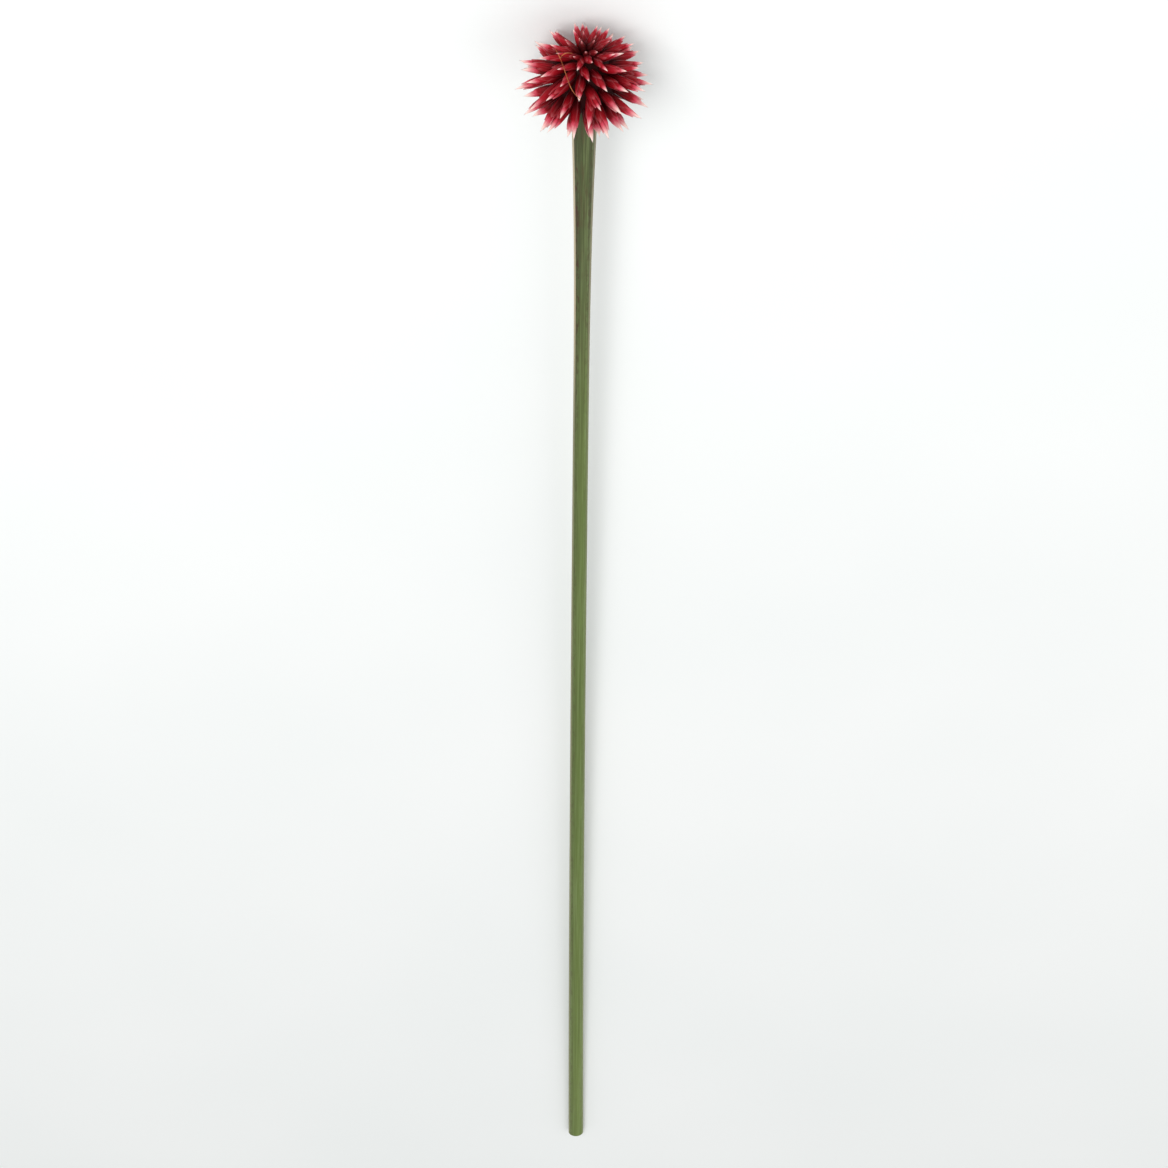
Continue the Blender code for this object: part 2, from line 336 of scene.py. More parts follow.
@dataclass(frozen=True)
class ScapeSkinFinish(Finish):
    """Waxy rind of a leafless flower stalk: olive green at the head, fresher below, with a glaucous bloom.

    Its fibres show as lengthwise streaks, with painted shade in their grooves. Both keels are pale and dry,
    with brown-red blotches beside them.
    One side is darkened with painted shade, strongest under the head, and that side's keel is the drier one.
    """

    name: str = "waxy_scape_skin"
    roughness: float = 0.46
    specular: float = 0.3
    streak_width: float = 0.45 * MM
    streak_length: float = 55 * MM
    streak_depth: float = 0.06 * MM
    mottle_width: float = 1.3 * MM
    mottle_length: float = 10 * MM
    cloud_width: float = 2.6 * MM
    keel_width: float = 0.5 * MM
    spot_band: float = 2.0 * MM
    spot_width: float = 0.9 * MM
    spot_length: float = 3.2 * MM
    blush_reach: float = 170 * MM
    dry_reach: float = 85 * MM
    fresh_reach: float = 660 * MM
    # Where the painted shade on one side of the scape starts and ends across it, and how far down from the
    # neck it fades
    painted_shade_side_from: float = 1.8 * MM
    painted_shade_side_to: float = -2.4 * MM
    painted_shade_side_reach: float = 408 * MM
    dry_side_from: float = 1 * MM
    dry_side_to: float = -1 * MM

    def pattern(self, tree: Tree, place: Socket, width: float, length: float, detail: float) -> Socket:
        """Lay a noise over the scape's skin.

        Args:
            tree: node tree that gets the nodes.
            place: the scape's own coordinates, with the distance from the neck as Z.
            width: size of the pattern across the scape.
            length: size of the pattern along the scape.
            detail: how many finer layers the noise has.

        Returns:
            The noise's height, from 0 to 1.
        """
        scale = (1 / width, 1 / width, 1 / length)
        laid = add_node(tree, "Mapping", {"Vector": place, "Scale": scale})[0]
        return add_node(
            tree, "TexNoise", {"Vector": laid, "Scale": 1.0, "Detail": detail, "Roughness": 0.6}
        )[0]

    def make(self) -> bpy.types.Material:
        """Return the material, which reads the scape's own coordinates and the distance to its edge."""
        material, tree, shader = self.start()
        place = add_node(tree, "Attribute", attribute_name="scape_place")["Vector"]
        from_edge = add_node(tree, "Attribute", attribute_name="from_edge")["Fac"]
        across, _, from_neck = add_node(tree, "SeparateXYZ", {0: place})
        streaks = self.pattern(tree, place, self.streak_width, self.streak_length, 3.0)
        mottle = self.pattern(tree, place, self.mottle_width, self.mottle_length, 4.0)
        clouds = self.pattern(tree, place, self.cloud_width, self.streak_length, 2.0)
        spots = self.pattern(tree, place, self.spot_width, self.spot_length, 2.0)

        down = add_node(tree, "MapRange", {0: from_neck, "From Max": self.fresh_reach})[0]
        uneven = add_node(tree, "Math", {0: clouds, 1: 0.22, 2: down}, operation="MULTIPLY_ADD")[0]
        stops = [(0.1, "#3F4429"), (0.2, "#535D36"), (0.36, "#65763C"), (0.75, "#5F7333"), (1, "#6C7F3C")]
        colour = add_node(tree, "ValToRGB", {0: uneven}, stops)[0]

        # What each amount goes by, from where to where it eases, and how large it is there
        ranges = {
            "bloom": (streaks, 0.42, 0.72, 0, 0.36),
            # painted shade in the grooves, where the streak relief is lowest
            "groove_shade": (streaks, 0.5, 0.25, 0, 0.32),
            # painted shade on one side of the scape
            "painted_shade_side": (across, self.painted_shade_side_from, self.painted_shade_side_to, 0, 0.55),
            "near_neck": (from_neck, 0, self.blush_reach, 0.6, 0.1),
            "patches": (mottle, 0.45, 0.68, 0, 1),
            "upward": (from_neck, self.blush_reach, self.dry_reach, 0.3, 1),
            "beside_keel": (from_edge, self.spot_band, 0.6 * self.spot_band, 0, 1),
            "spotted": (spots, 0.49, 0.61, 0, 0.9),
            "keel": (from_edge, 1.25 * self.keel_width, 0.75 * self.keel_width, 0, 1),
        }
        eased = {
            name: add_node(tree, "MapRange", dict(enumerate(limits)), interpolation_type="SMOOTHSTEP")[0]
            for name, limits in ranges.items()
        }
        # The painted shade on one side is strongest under the head and fades to about half down the scape.
        painted_shade_strength = add_node(
            tree,
            "MapRange",
            {0: from_neck, "From Max": self.painted_shade_side_reach, "To Min": 1.0, "To Max": 0.45},
        )[0]
        dry_side = add_node(
            tree,
            "MapRange",
            {0: across, "From Min": self.dry_side_from, "From Max": self.dry_side_to, "To Min": 0.4},
        )[0]
        layers = (
            ("#92A56E", eased["bloom"]),
            # painted shade in the grooves between the streaks
            ("#38441F", eased["groove_shade"]),
            # painted shade on one side of the scape, strongest under the head
            ("#35391F", eased["painted_shade_side"], painted_shade_strength),
            ("#52482E", eased["near_neck"], eased["patches"]),
            ("#43281C", eased["beside_keel"], eased["spotted"], eased["upward"], dry_side),
            ("#B9AC90", eased["keel"], eased["upward"], dry_side),
        )
        for code, amount, *shares in layers:
            for share in shares:
                amount = add_node(tree, "Math", {0: amount, 1: share}, operation="MULTIPLY")[0]
            colour = add_node(
                tree, "Mix", {FACTOR: amount, FIRST: colour, SECOND: srgb(code)}, data_type="RGBA"
            )[MIXED]
        tree.links.new(colour, shader.inputs["Base Color"])

        bump = add_node(tree, "Bump", {"Height": streaks, "Distance": self.streak_depth})[0]
        tree.links.new(bump, shader.inputs["Normal"])
        return material


@dataclass(frozen=True)
class PithFinish(Finish):
    """Cut face of the scape: pale moist pith with the darker ends of scattered fibre bundles."""

    name: str = "cut_pith"
    roughness: float = 0.55
    bundle_spacing: float = 0.55 * MM
    bundle_rise: float = 0.08 * MM

    def make(self) -> bpy.types.Material:
        """Return the material."""
        material, tree, shader = self.start()
        place = add_node(tree, "TexCoord")["Object"]
        bundles = add_node(
            tree, "TexVoronoi", {"Vector": place, "Scale": 1 / self.bundle_spacing}
        )["Distance"]
        stops = [(0, "#7C7A42"), (0.22, "#8E8C52"), (0.34, "#C9CC98"), (1, "#DDDDB4")]
        colour = add_node(tree, "ValToRGB", {0: bundles}, stops)[0]
        tree.links.new(colour, shader.inputs["Base Color"])
        relief = {"Height": bundles, "Distance": self.bundle_rise, "Strength": 0.6}
        tree.links.new(add_node(tree, "Bump", relief, invert=True)[0], shader.inputs["Normal"])
        return material


@dataclass(frozen=True)
class StudioFloorFinish(Finish):
    """Matt white painted board, all but white under the studio light, with a faint unevenness."""

    name: str = "white_studio_board"
    roughness: float = 0.8
    cloud_size: float = 167 * MM

    def make(self) -> bpy.types.Material:
        """Return the material."""
        material, tree, shader = self.start()
        place = add_node(tree, "TexCoord")["Object"]
        cloud = add_node(tree, "TexNoise", {"Vector": place, "Scale": 1 / self.cloud_size})[0]
        stops = [(0.3, "#F1F4F3"), (0.7, "#F5F7F6")]
        colour = add_node(tree, "ValToRGB", {0: cloud}, stops)[0]
        tree.links.new(colour, shader.inputs["Base Color"])
        return material


@dataclass
class Scape:
    """The leafless flower stalk: a two-edged scape, widest under the head, cut square at its lower end."""

    length: float = 660 * MM
    waist_width: float = 5.0 * MM
    cut_widening: float = 1.5 * MM
    cut_power: float = 1.2
    neck_widening: float = 3.4 * MM
    flare_length: float = 48 * MM
    flare_power: float = 1.25
    flatness: float = 0.62
    edge_sharpness: float = 0.35
    packed_sides: int = 14
    rise_power: float = 1.12
    sway: float = 4.0 * MM
    sway_power: float = 1.5
    neck_height: float = 19.6 * MM
    heading_share: float = 0.01
    sides: int = 96
    rings: int = 170
    ring_crowding: float = 1.7
    rib_count: int = 24
    rib_depth: float = 0.035 * MM
    keel_rise: float = 0.10 * MM
    keel_angle: float = 0.10
    neck_sink: float = 2.0 * MM
    rind: float = 0.45 * MM
    pith_sink: float = 0.25 * MM
    cut_lean: float = 0.03 * MM
    cut_end: Vector = field(default_factory=Vector)

    def __post_init__(self) -> None:
        """Read the cut end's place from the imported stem, whose cut leans back a little."""
        low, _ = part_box(STEM_NODE)
        self.cut_end = Vector((low.x + self.width(self.length) / 2, low.y + self.cut_lean, 0))

    def width(self, from_neck: float) -> float:
        """Return the width over both keels at a distance from the neck."""
        flare = self.neck_widening * math.exp(-((from_neck / self.flare_length) ** self.flare_power))
        widening = self.cut_widening * (from_neck / self.length) ** self.cut_power
        return self.waist_width + widening + flare

    def flat_height(self) -> float:
        """Return the share of the lens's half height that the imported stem's flat sides reach."""
        return math.cos(math.pi / self.packed_sides) ** (1 + self.edge_sharpness)

    def middle(self, share: float) -> Vector:
        """Return the middle of the scape, from the cut end at 0 to the neck at 1."""
        lowest = self.width(self.length) * self.flatness / 2 * self.flat_height()
        rise = (self.neck_height - lowest) * share**self.rise_power
        sideways = self.sway * share**self.sway_power
        return self.cut_end + Vector((sideways, share * self.length, lowest + rise))

    def neck_frame(self) -> Matrix:
        """Return the place of the head: its origin at the neck, its Z axis running on from the scape."""
        neck = self.middle(1.0)
        heading = (neck - self.middle(1 - self.heading_share)).normalized()
        tilt = Euler((math.asin(heading.z) - math.pi / 2, 0, -math.atan2(heading.x, heading.y)))
        return Matrix.Translation(neck) @ tilt.to_matrix().to_4x4()

    def outline(self, angle: float, half_width: float) -> tuple[float, float]:
        """Find a point of the section: a lens with fine ribs, and a raised keel at both edges.

        Args:
            angle: angle round the section, 0 and half a turn at the keels.
            half_width: half the width over both keels.

        Returns:
            The point's places across and up.
        """
        lean = abs(math.sin(angle)) ** (1 + self.edge_sharpness)
        up = math.copysign(lean, math.sin(angle)) * self.flatness * self.flat_height() * half_width
        across = math.cos(angle) * half_width
        groove = self.rib_depth * (0.5 - 0.5 * math.cos(self.rib_count * angle)) * lean
        from_keel = math.asin(abs(math.sin(angle)))
        ridge = self.keel_rise * math.exp(-((from_keel / self.keel_angle) ** 2))
        return across + math.copysign(ridge, across), up - math.copysign(groove, up)

    def build(self) -> bmesh.types.BMesh:
        """Return the scape's mesh, with its own coordinates on the skin and its pith set in at the cut."""
        shape = straight_tube(self.sides, self.rings)
        skin = shape.verts.layers.float_vector.new("scape_place")
        edge = shape.verts.layers.float.new("from_edge")
        cut_face = min(shape.faces, key=lambda f: f.calc_center_median().z)
        for vert in shape.verts:
            angle, step = math.atan2(vert.co.y, vert.co.x), vert.co.z
            share = 1 - (1 - step) ** self.ring_crowding
            from_neck = (1 - share) * self.length
            half_width = self.width(from_neck) / 2
            across, up = self.outline(angle, half_width)
            ahead = self.middle(min(1.0, share + self.heading_share / 2))
            behind = self.middle(max(0.0, share - self.heading_share / 2))
            heading = (ahead - behind).normalized()
            side = heading.cross(Vector((0, 0, 1))).normalized()
            sink = self.neck_sink * smooth_step(1 - 1 / self.rings, 1.0, step)
            vert.co = self.middle(share) + side * across + side.cross(heading) * up + heading * sink
            vert[skin] = (across, up, from_neck)
            vert[edge] = half_width - abs(across)

        bmesh.ops.inset_region(shape, faces=[cut_face], thickness=0.0)
        middle = self.middle(0.0)
        pith_share = 1 - self.rind / (self.width(self.length) * self.flatness / 2)
        for vert in cut_face.verts:
            vert.co = middle + (vert.co - middle) * pith_share
            vert.co.y += self.pith_sink
        cut_face.material_index = 1
        face_outwards(shape)
        return shape

    def make(self) -> bpy.types.Object:
        """Return the finished scape."""
        finishes = [ScapeSkinFinish().make(), PithFinish().make()]
        return mesh_piece("scape", self.build(), finishes, STEM_NODE)


class Tier(Enum):
    """Band of the head that a spikelet stands in, with the name of the band's piece."""

    CROWN = "spikelets_crown"
    MIDDLE = "spikelets_middle"
    SKIRT = "spikelets_skirt"


class Kind(Enum):
    """How open a spikelet is, with the name of its template."""

    BUD = "spikelet_bud"
    KEELED = "spikelet_keeled"
    OPEN = "spikelet_open"


@dataclass(frozen=True)
class Bract:
    """One bract of a spikelet.

    Its angles are in degrees. Its tip_share is of the spikelet's length, its stand_off in half widths.
    """

    azimuth: float
    tip_share: float
    layer: int
    stand_off: float = 0.0
    half_wrap: float = 98.0


BRACTS = {
    Kind.BUD: (Bract(30, 0.62, 2), Bract(160, 0.74, 1), Bract(275, 0.88, 0)),
    Kind.KEELED: (
        Bract(30, 0.84, 3, stand_off=0.20, half_wrap=80),
        Bract(150, 0.62, 2),
        Bract(270, 0.74, 1),
        Bract(40, 0.93, 0),
    ),
    Kind.OPEN: (
        Bract(30, 0.84, 3, stand_off=0.22, half_wrap=80),
        Bract(210, 0.84, 3, stand_off=0.16, half_wrap=80),
        Bract(120, 0.68, 2),
        Bract(300, 0.78, 1),
    ),
}


@dataclass
class SpikeletForm:
    """Fine shape of a spikelet: a closed bud of young bracts with the outer bracts lapped round it."""

    root_girth: float = 0.55
    widest: float = 0.40
    taper_power: float = 1.7
    bud_share: float = 0.80
    bud_sides: int = 8
    bud_cuts: tuple[float, ...] = (0.2, 0.4, 0.6, 0.78, 0.91)
    bract_foot: float = 0.10
    bract_columns: int = 4
    bract_rows: int = 5
    bract_thickness: float = 0.09 * MM
    outline_power: float = 2.4
    outline_fullness: float = 0.75
    layer_lift: float = 0.06
    fold: float = 0.07
    lift_at_point: float = 0.45
    stand_from: float = 0.45

    def girth(self, share: float) -> float:
        """Return the half width of the spikelet at a share of its length, its widest being 1."""
        if share < self.widest:
            return self.root_girth + (1 - self.root_girth) * math.sin(math.pi / 2 * share / self.widest)
        return 1 - min(1.0, (share - self.widest) / (1 - self.widest)) ** self.taper_power

    def to_size(self, out: float, angle: float, share: float) -> Vector:
        """Return the typical spikelet's point at half widths out, an angle round it and a share along."""
        reach = out * TYPICAL_HALF_WIDTH
        return Vector((reach * math.cos(angle), reach * math.sin(angle), share * TYPICAL_LENGTH))

    def bud(self) -> bmesh.types.BMesh:
        """Return the closed bud."""
        shape = bmesh.new()
        layer = shape.verts.layers.float_vector.new("bract_place")
        lift = Matrix.Translation((0, 0, 0.5))
        bmesh.ops.create_cone(
            shape, cap_ends=True, segments=self.bud_sides, radius1=1.0, radius2=0.0, depth=1.0, matrix=lift
        )
        for cut in self.bud_cuts:
            everything = [*shape.verts, *shape.edges, *shape.faces]
            bmesh.ops.bisect_plane(shape, geom=everything, plane_co=(0, 0, cut), plane_no=(0, 0, 1))
        for vert in shape.verts:
            angle, share = math.atan2(vert.co.y, vert.co.x), vert.co.z
            vert[layer] = (math.sin(angle) / 2, share, share)
            vert.co = self.to_size(self.girth(share) * self.bud_share, angle, share)
        return shape

    def scale_of(self, bract: Bract) -> bmesh.types.BMesh:
        """Return one bract as a thin curved scale with a point."""
        shape = bmesh.new()
        layer = shape.verts.layers.float_vector.new("bract_place")
        bmesh.ops.create_grid(shape, x_segments=self.bract_columns, y_segments=self.bract_rows, size=1.0)
        for vert in shape.verts:
            across, own = vert.co.x, (vert.co.y + 1) / 2
            share = self.bract_foot + (bract.tip_share - self.bract_foot) * own
            narrowing = (1 - own**self.outline_power) ** self.outline_fullness
            angle = math.radians(bract.azimuth + across * narrowing * bract.half_wrap)
            girth = self.girth(share)
            lift = self.layer_lift * (bract.layer + 1) * (1 - across * across / 2)
            rise = self.fold * (1 - abs(across)) + bract.stand_off * smooth_step(self.stand_from, 1.0, own)
            above_bud = (lift + rise) * (self.lift_at_point + (1 - self.lift_at_point) * girth)
            vert[layer] = (across, own, share)
            vert.co = self.to_size(girth * self.bud_share + above_bud, angle, share)
        bmesh.ops.remove_doubles(shape, verts=shape.verts, dist=WELD)
        everything = [*shape.verts, *shape.edges, *shape.faces]
        bmesh.ops.solidify(shape, geom=everything, thickness=self.bract_thickness)
        face_outwards(shape)
        return shape

    def template(self, kind: Kind) -> bpy.types.Mesh:
        """Return the mesh of a kind of spikelet in the typical size, its root at 0 and its tip on +Z."""
        mesh = bpy.data.meshes.new(kind.value)
        joined = self.bud()
        for bract in BRACTS[kind]:
            scale = self.scale_of(bract)
            scale.to_mesh(mesh)
            scale.free()
            joined.from_mesh(mesh)
        joined.to_mesh(mesh)
        joined.free()
        return mesh


@dataclass(frozen=True)
class Spikelet:
    """One placed spikelet of the head, with the tones of its bracts."""

    kind: Kind
    tier: Tier
    place: Matrix
    tone: float
    pale_from: float
    crown: float


@dataclass
class FlowerHead:
    """The round head: a receptacle with its spikelets on one golden-angle spiral.

    Its sizes and places are those of the neck's frame, whose Z axis runs to the apex.
    """

    neck: Matrix
    core_radius: float = 9.5 * MM
    core_centre: float = 8.5 * MM
    core_rise: float = 13.5 * MM
    core_drop: float = 9.5 * MM
    core_sides: int = 56
    core_rings: int = 40
    core_unevenness: float = 0.35 * MM
    core_knob: float = 2.2 * MM
    root_shell: float = 0.76
    tip_centre: float = 7.0 * MM
    tip_rise: float = 20.0 * MM
    tip_drop: float = 14.0 * MM
    tip_radius: float = 22.4 * MM
    tip_roundness: float = 1.9
    last_angle: float = math.radians(141)
    angle_step: float = math.radians(0.25)
    spacing_apex: float = 3.2 * MM
    spacing_base: float = 9.8 * MM
    apex_to_base_spread: float = math.radians(90)
    golden_angle: float = math.pi * (3 - math.sqrt(5))
    head_turn: float = math.radians(216)
    apex_fade: float = math.radians(24)
    droop_start: float = math.radians(67)
    droop_rate: float = 0.75
    width_apex: float = 2.0 * MM
    width_base: float = 3.9 * MM
    bud_last_angle: float = math.radians(45)
    open_every: int = 3
    seed: int = 3203
    turn_jitter: float = math.radians(4.0)
    pitch_jitter: float = math.radians(6.0)
    yaw_jitter: float = math.radians(7.0)
    reach_jitter: float = 1.2 * MM
    width_jitter: float = 0.14
    march_step: float = 0.1 * MM
    press_power: int = 3
    skirt_first_angle: float = math.radians(95)
    crown_tone_angle: float = math.radians(11)
    crown_end_angle: float = math.radians(31)
    pale_from_apex: float = 0.85
    pale_from_skirt: float = 0.54
    pale_jitter: float = 0.06
    bleached_share: float = 0.18
    bleached_by: float = 0.22
    looks_seed: int = 5
    form: SpikeletForm = field(default_factory=SpikeletForm)

    def envelope(self, angle: float) -> tuple[float, float]:
        """Return the tips' height and radius, at an angle from the apex seen from the envelope's centre."""
        along, out = math.cos(angle), math.sin(angle)
        tallness = self.tip_rise if along > 0 else self.tip_drop
        terms = (abs(along) / tallness) ** self.tip_roundness + (out / self.tip_radius) ** self.tip_roundness
        reach = terms ** (-1 / self.tip_roundness)
        return self.tip_centre + reach * along, reach * out

    def apex_to_base(self, angle: float, at_apex: float, at_base: float) -> float:
        """Return a size at an angle that grows from the apex to the base, fastest near the apex."""
        spread = 1 - math.exp(-angle / self.apex_to_base_spread)
        full = 1 - math.exp(-self.last_angle / self.apex_to_base_spread)
        return at_apex + (at_base - at_apex) * spread / full

    def tip_angles(self) -> list[float]:
        """Return the tips' angles from the apex, each with its spacing squared of the envelope's area."""
        angles = []
        owed = 0.5
        angle = 0.0
        while angle < self.last_angle:
            height, radius = self.envelope(angle)
            next_height, next_radius = self.envelope(angle + self.angle_step)
            slant = math.hypot(next_height - height, next_radius - radius)
            spacing = self.apex_to_base(angle, self.spacing_apex, self.spacing_base)
            owed += math.pi * (radius + next_radius) * slant / spacing**2
            angle += self.angle_step
            while owed >= 1:
                angles.append(angle)
                owed -= 1
        return angles

    def pitch(self, angle: float) -> float:
        """Return a spikelet's angle above the level, for the angle of its tip from the apex."""
        steep = math.pi / 2 * math.exp(-angle / self.apex_fade)
        return steep - self.droop_rate * max(0.0, angle - self.droop_start)

    def inside_root_shell(self, point: Vector) -> bool:
        """Tell if a point lies within the shell on which the roots end, inside the receptacle."""
        tallness = self.core_rise if point.z > self.core_centre else self.core_drop
        across = math.hypot(point.x, point.y) / self.core_radius
        return math.hypot(across, (point.z - self.core_centre) / tallness) < self.root_shell

    def spikelet_length(self, tip: Vector, direction: Vector) -> float:
        """Measure a spikelet from its tip back to the root shell, or to its nearest point to the axis.

        Args:
            tip: its tip.
            direction: its unit direction, from root to tip.

        Returns:
            Its length.
        """
        length = 0.0
        point = tip.copy()
        nearest = math.hypot(point.x, point.y) + 1.0
        while not self.inside_root_shell(point) and math.hypot(point.x, point.y) < nearest:
            nearest = math.hypot(point.x, point.y)
            length += self.march_step
            point = tip - direction * length
        return length

    def kind_of(self, index: int, angle: float) -> Kind:
        """Return the kind of a spikelet: closed buds at the apex, and open bract tips below them."""
        if angle < self.bud_last_angle:
            return Kind.BUD
        return Kind.OPEN if index % self.open_every == 0 else Kind.KEELED

    def tier_of(self, angle: float) -> Tier:
        """Return the band that a spikelet stands in."""
        if angle < self.bud_last_angle:
            return Tier.CROWN
        return Tier.MIDDLE if angle < self.skirt_first_angle else Tier.SKIRT

    def spikelets(self) -> list[Spikelet]:
        """Return all spikelets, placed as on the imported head."""
        draw = random.Random(self.seed)
        looks = random.Random(self.looks_seed)
        placed = []
        for index, angle in enumerate(self.tip_angles()):
            turn = self.head_turn + index * self.golden_angle
            turn += draw.uniform(-self.turn_jitter, self.turn_jitter)
            pitch = self.pitch(angle) + draw.uniform(-self.pitch_jitter, self.pitch_jitter)
            yaw = turn + draw.uniform(-self.yaw_jitter, self.yaw_jitter)
            height, radius = self.envelope(angle)
            tip = Vector((radius * math.cos(turn), radius * math.sin(turn), height))
            level = Vector((math.cos(yaw), math.sin(yaw), 0)) * math.cos(pitch)
            direction = level + Vector((0, 0, math.sin(pitch)))
            tip += direction * draw.uniform(-self.reach_jitter, self.reach_jitter)
            length = self.spikelet_length(tip, direction)
            half_width = self.apex_to_base(angle, self.width_apex, self.width_base) / 2
            half_width *= 1 + draw.uniform(-self.width_jitter, self.width_jitter)
            roll = draw.uniform(0, 2 * math.pi)
            slimming = half_width / TYPICAL_HALF_WIDTH
            place = (
                self.neck
                @ Matrix.Translation(tip - direction * length)
                @ direction.to_track_quat("Z", "Y").to_matrix().to_4x4()
                @ Matrix.Rotation(roll, 4, "Z")
                @ Matrix.Diagonal((slimming, slimming, length / TYPICAL_LENGTH, 1))
            )
            down = smooth_step(0, self.last_angle, angle)
            pale_from = self.pale_from_apex + (self.pale_from_skirt - self.pale_from_apex) * down
            pale_from += looks.uniform(-self.pale_jitter, self.pale_jitter)
            if looks.random() < self.bleached_share:
                pale_from -= self.bleached_by * down
            crown = 1 - smooth_step(self.crown_tone_angle, self.crown_end_angle, angle)
            tone = looks.uniform(-1, 1)
            kind, tier = self.kind_of(index, angle), self.tier_of(angle)
            placed.append(Spikelet(kind, tier, place, tone, pale_from, crown))
        return placed

    def press_on_surface(self, verts: list[bmesh.types.BMVert], along: Any) -> None:
        """Bend a spikelet up where it would reach through the surface.

        Args:
            verts: vertices of the spikelet.
            along: layer with each vertex's own coordinates, the share of the length as its Z.
        """
        lowest = min(v.co.z for v in verts)
        if lowest >= 0:
            return
        for vert in verts:
            vert.co.z = max(0.0, vert.co.z - lowest * vert[along].z ** self.press_power)

    def build_tier(self, tier: Tier, spikelets: list[Spikelet]) -> bmesh.types.BMesh:
        """Set the spikelets of one band.

        Args:
            tier: the band.
            spikelets: all spikelets of the head.

        Returns:
            The band's mesh.
        """
        templates = {kind: self.form.template(kind) for kind in Kind}
        shape = bmesh.new()
        place_layer = shape.verts.layers.float_vector.new("bract_place")
        tones = {name: shape.verts.layers.float.new(name) for name in TONES}
        for spikelet in spikelets:
            if spikelet.tier is not tier:
                continue
            before = len(shape.verts)
            shape.from_mesh(templates[spikelet.kind])
            shape.verts.ensure_lookup_table()
            fresh = shape.verts[before:]
            bmesh.ops.transform(shape, matrix=spikelet.place, verts=fresh)
            self.press_on_surface(fresh, place_layer)
            for name, layer in tones.items():
                for vert in fresh:
                    vert[layer] = getattr(spikelet, name)
        for mesh in templates.values():
            bpy.data.meshes.remove(mesh)
        return shape

    def build_receptacle(self) -> bmesh.types.BMesh:
        """Return the egg-shaped receptacle, knobbly where the spikelets grow from it."""
        shape = bmesh.new()
        bmesh.ops.create_uvsphere(shape, u_segments=self.core_sides, v_segments=self.core_rings, radius=1.0)
        layer = shape.verts.layers.float.new("rise")
        for vert in shape.verts:
            outward = vert.co.normalized()
            tallness = self.core_rise if vert.co.z > 0 else self.core_drop
            point = vert.co * self.core_radius
            point.z = self.core_centre + vert.co.z * tallness
            knob = noise.noise(point / self.core_knob) * self.core_unevenness
            vert[layer] = (point.z + self.core_drop - self.core_centre) / (self.core_rise + self.core_drop)
            vert.co = point + outward * knob
        bmesh.ops.transform(shape, matrix=self.neck, verts=shape.verts)
        return shape

    def make(self) -> list[bpy.types.Object]:
        """Add the receptacle, and return the bands of spikelets."""
        ground, bract = ReceptacleFinish().make(), BractFinish().make()
        mesh_piece("receptacle", self.build_receptacle(), [ground], HEAD_NODE)
        spikelets = self.spikelets()
        return [
            mesh_piece(tier.value, self.build_tier(tier, spikelets), [bract], HEAD_NODE)
            for tier in Tier
        ]


@dataclass(frozen=True)
class FibreFinish(Finish):
    """Dry brown plant fibre, dull and a little patchy."""

    name: str = "dry_fibre"
    roughness: float = 0.6
    specular: float = 0.2
    patch: float = 2.5 * MM

    def make(self) -> bpy.types.Material:
        """Return the material."""
        material, tree, shader = self.start()
        place = add_node(tree, "TexCoord")["Object"]
        cloud = add_node(tree, "TexNoise", {"Vector": place, "Scale": 1 / self.patch})[0]
        stops = [(0.35, "#86401F"), (0.65, "#C0764A")]
        colour = add_node(tree, "ValToRGB", {0: cloud}, stops)[0]
        tree.links.new(colour, shader.inputs["Base Color"])
        return material


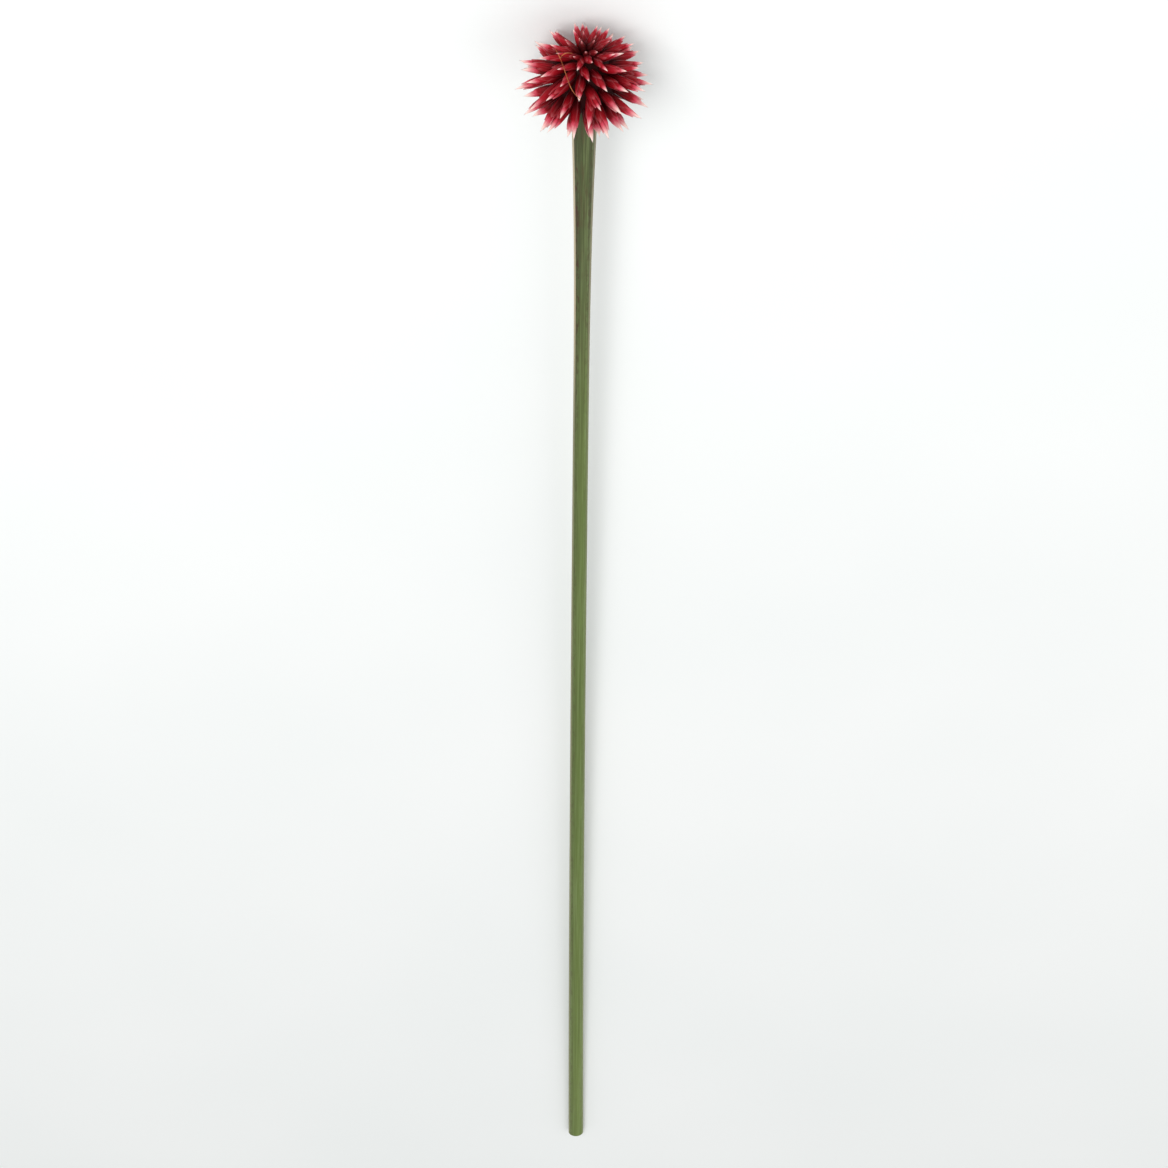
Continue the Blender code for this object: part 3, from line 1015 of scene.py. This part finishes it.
@dataclass
class DryFibres:
    """Dry fibres that lie over the spikelets where the photograph shows them.

    Each path is a list of places in millimetres across and up from the head's middle, as the camera sees it.
    """

    middle: Vector
    towards_camera: Vector
    paths: tuple[tuple[tuple[float, float], ...], ...] = (
        ((-9.0, 9.4), (-7.4, 6.5), (-5.7, 1.6), (-3.9, -3.6), (-1.0, -6.4)),
        ((-7.6, 6.4), (-6.6, 7.7), (-5.2, 8.2), (-3.6, 8.0)),
    )
    radius: float = 0.13 * MM
    end_radius: float = 0.05 * MM
    sides: int = 6
    samples_per_step: int = 9
    settle: int = 4
    ray_start: float = 60 * MM

    def along(self, path: tuple[tuple[float, float], ...]) -> list[tuple[float, float]]:
        """Return many places along a path, evenly spaced between its own."""
        places = []
        for (x, y), (next_x, next_y) in zip(path, path[1:]):
            for step in range(self.samples_per_step):
                share = step / self.samples_per_step
                places.append((x + (next_x - x) * share, y + (next_y - y) * share))
        return [*places, path[-1]]

    def smoothed(self, values: list[Any]) -> list[Any]:
        """Return each value's mean with its neighbours on both sides."""
        last = len(values) - 1
        rounded = []
        for place in range(len(values)):
            reach = min(self.settle, place, last - place)
            near = values[place - reach : place + reach + 1]
            rounded.append(sum(near[1:], near[0]) / len(near))
        return rounded

    def lie_on(self, surface: BVHTree, path: tuple[tuple[float, float], ...]) -> list[Vector]:
        """Drop a path on the spikelets.

        Args:
            surface: all faces of the spikelets.
            path: the fibre's places across and up.

        Returns:
            The middle line of the fibre, which bridges the gaps between the spikelets.
        """
        right = Vector((1, 0, 0))
        up = self.towards_camera.cross(right).normalized()
        places = self.smoothed([self.middle + (right * x + up * y) * MM for x, y in self.along(path)])
        heights = []
        for place in places:
            start = place + self.towards_camera * self.ray_start
            distance = surface.ray_cast(start, -self.towards_camera)[3]
            # A ray that meets no spikelet counts as one far below, so its neighbours set the height
            heights.append(self.ray_start - (distance or 2 * self.ray_start))
        highest = [max(heights[max(0, i - self.settle) : i + self.settle + 1]) for i in range(len(heights))]
        return [
            place + self.towards_camera * (height + self.radius / 2)
            for place, height in zip(places, self.smoothed(highest))
        ]

    def build(self, surface: BVHTree) -> bmesh.types.BMesh:
        """Return all fibres, thinner towards their ends."""
        mesh = bpy.data.meshes.new("fibre")
        joined = bmesh.new()
        for path in self.paths:
            line = self.lie_on(surface, path)
            shape = straight_tube(self.sides, len(line))
            for vert in shape.verts:
                place = round(vert.co.z * (len(line) - 1))
                heading = (line[min(place + 1, len(line) - 1)] - line[max(place - 1, 0)]).normalized()
                side = heading.cross(self.towards_camera).normalized()
                share = place / (len(line) - 1)
                fullness = math.sqrt(math.sin(math.pi * share))
                radius = self.end_radius + (self.radius - self.end_radius) * fullness
                offset = side * vert.co.x + side.cross(heading) * vert.co.y
                vert.co = line[place] + offset * radius
            face_outwards(shape)
            shape.to_mesh(mesh)
            shape.free()
            joined.from_mesh(mesh)
        bpy.data.meshes.remove(mesh)
        return joined

    def make(self, spikelets: list[bpy.types.Object]) -> bpy.types.Object:
        """Return the fibres, laid on the bands of spikelets."""
        corners = []
        faces = []
        for band in spikelets:
            first = len(corners)
            corners += [v.co.copy() for v in band.data.vertices]
            faces += [[first + corner for corner in face.vertices] for face in band.data.polygons]
        surface = BVHTree.FromPolygons(corners, faces)
        return mesh_piece("dry_fibres", self.build(surface), [FibreFinish().make()], HEAD_NODE)


@dataclass
class Studio:
    """A white board under soft light, and the camera that looks down on the flower from beyond its head.

    The picture's size, and the length of it that the flower fills, are in pixels.
    """

    floor_size: float = 30.0
    world_strength: float = 0.62
    key_size: float = 0.9
    key_power: float = 16.5
    key_from: Vector = field(default_factory=lambda: Vector((-0.5, 1.15, 1.3)))
    fill_size: float = 1.4
    fill_power: float = 4.5
    fill_from: Vector = field(default_factory=lambda: Vector((1.2, 0.3, 1.1)))
    view_height: float = math.radians(48)
    view_distance: float = 1.13
    picture_size: int = 1168
    flower_span: int = 1090
    sensor: float = 36.0

    def lay_floor(self) -> bpy.types.Object:
        """Return the board, which isn't part of the flower."""
        shape = bmesh.new()
        bmesh.ops.create_grid(shape, x_segments=1, y_segments=1, size=self.floor_size / 2)
        mesh = bpy.data.meshes.new("studio_board")
        shape.to_mesh(mesh)
        shape.free()
        mesh.materials.append(StudioFloorFinish().make())
        board = bpy.data.objects.new("studio_board", mesh)
        bpy.context.scene.collection.objects.link(board)
        return board

    def hang_light(self, name: str, size: float, power: float, place: Vector) -> bpy.types.Object:
        """Hang a soft square light that faces the middle of the flower.

        Args:
            name: name of the light.
            size: length of its sides.
            power: its power in watts.
            place: where it hangs.

        Returns:
            The light.
        """
        data = bpy.data.lights.new(name, "AREA")
        data.size = size
        data.energy = power
        light = bpy.data.objects.new(name, data)
        light.location = place
        light.rotation_euler = place.to_track_quat("Z", "Y").to_euler()
        bpy.context.scene.collection.objects.link(light)
        return light

    def light_world(self) -> None:
        """Light everything evenly with white, and show colours as they are."""
        world = bpy.data.worlds.new("white_room")
        world.use_nodes = True
        sky = world.node_tree.nodes["Background"]
        sky.inputs["Color"].default_value = (1.0, 1.0, 1.0, 1.0)
        sky.inputs["Strength"].default_value = self.world_strength
        bpy.context.scene.world = world
        bpy.context.scene.view_settings.view_transform = "Standard"

    def towards_camera(self) -> Vector:
        """Return the unit direction from the head to the camera."""
        return Vector((0, math.cos(self.view_height), math.sin(self.view_height)))

    def set_camera(self, head_middle: Vector, cut_end: Vector, head_end: Vector) -> bpy.types.Object:
        """Set the camera so that the head is seen as in the photograph and the whole flower fits.

        Args:
            head_middle: middle of the head.
            cut_end: the flower's end at the scape's cut.
            head_end: the flower's end at the head.

        Returns:
            The camera.
        """
        place = head_middle + self.towards_camera() * self.view_distance
        to_head = (head_end - place).normalized()
        to_cut = (cut_end - place).normalized()
        looking = (to_head + to_cut).normalized()
        half_view = to_head.angle(to_cut) / 2
        reach = self.flower_span / self.picture_size * self.sensor / 2
        data = bpy.data.cameras.new("camera")
        data.sensor_width = self.sensor
        data.lens = reach / math.tan(half_view)
        camera = bpy.data.objects.new("camera", data)
        right = Vector((1, 0, 0))
        turn = Matrix((right, (-looking).cross(right).normalized(), -looking)).transposed()
        camera.matrix_world = Matrix.Translation(place) @ turn.to_4x4()
        bpy.context.scene.collection.objects.link(camera)
        bpy.context.scene.camera = camera
        return camera


def main() -> None:
    """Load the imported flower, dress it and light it."""
    logging.basicConfig(level=logging.INFO, format="%(name)s: %(message)s")
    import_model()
    scape = Scape()
    scape.make()
    spikelets = FlowerHead(scape.neck_frame()).make()

    low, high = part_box(HEAD_NODE)
    stem_low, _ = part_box(STEM_NODE)
    middle = (low + high) / 2
    middle.x = 0
    studio = Studio()
    DryFibres(middle, studio.towards_camera()).make(spikelets)
    studio.lay_floor()
    studio.light_world()
    studio.hang_light("key_light", studio.key_size, studio.key_power, studio.key_from)
    studio.hang_light("fill_light", studio.fill_size, studio.fill_power, studio.fill_from)
    studio.set_camera(middle, Vector((0, stem_low.y, 0)), Vector((0, high.y, middle.z)))


if __name__ == "__main__":
    main()
